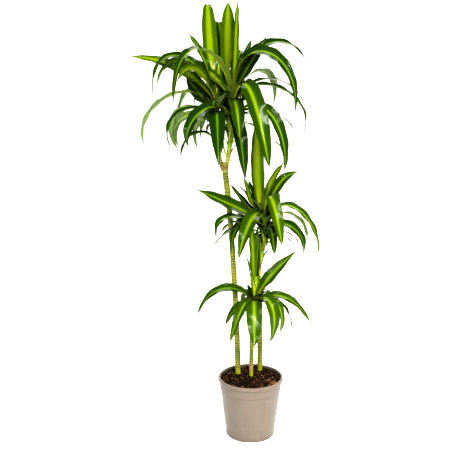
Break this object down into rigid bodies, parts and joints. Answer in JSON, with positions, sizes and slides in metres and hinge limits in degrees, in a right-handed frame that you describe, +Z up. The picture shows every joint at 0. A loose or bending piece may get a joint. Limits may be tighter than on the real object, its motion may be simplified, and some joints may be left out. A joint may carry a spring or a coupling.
{
  "type": "potted dracaena",
  "caption": "Tall potted houseplant: canes of different height rise from one tapered nursery pot, each with a crown of arching, lime-striped leaves.",
  "frame": {"origin": "centre of the pot's underside, on the surface the pot stands on", "axes": "+Z up along the plant; +X to the right and +Y away, seen from the front"},
  "size_m": [0.5881, 0.337, 1.3892],
  "materials": {
    "pot": "satin moulded",
    "soil": "crumbly potting mix",
    "cane": "ringed bark",
    "leaf": "semi-gloss"
  },
  "bodies": {
    "root": {"pot": "pot", "soil": "soil", "tall_cane": "cane", "middle_cane": "cane", "short_cane": "cane", "tall_crown": "leaf", "middle_crown": "leaf", "short_crown": "leaf"}
  },
  "joints": []
}
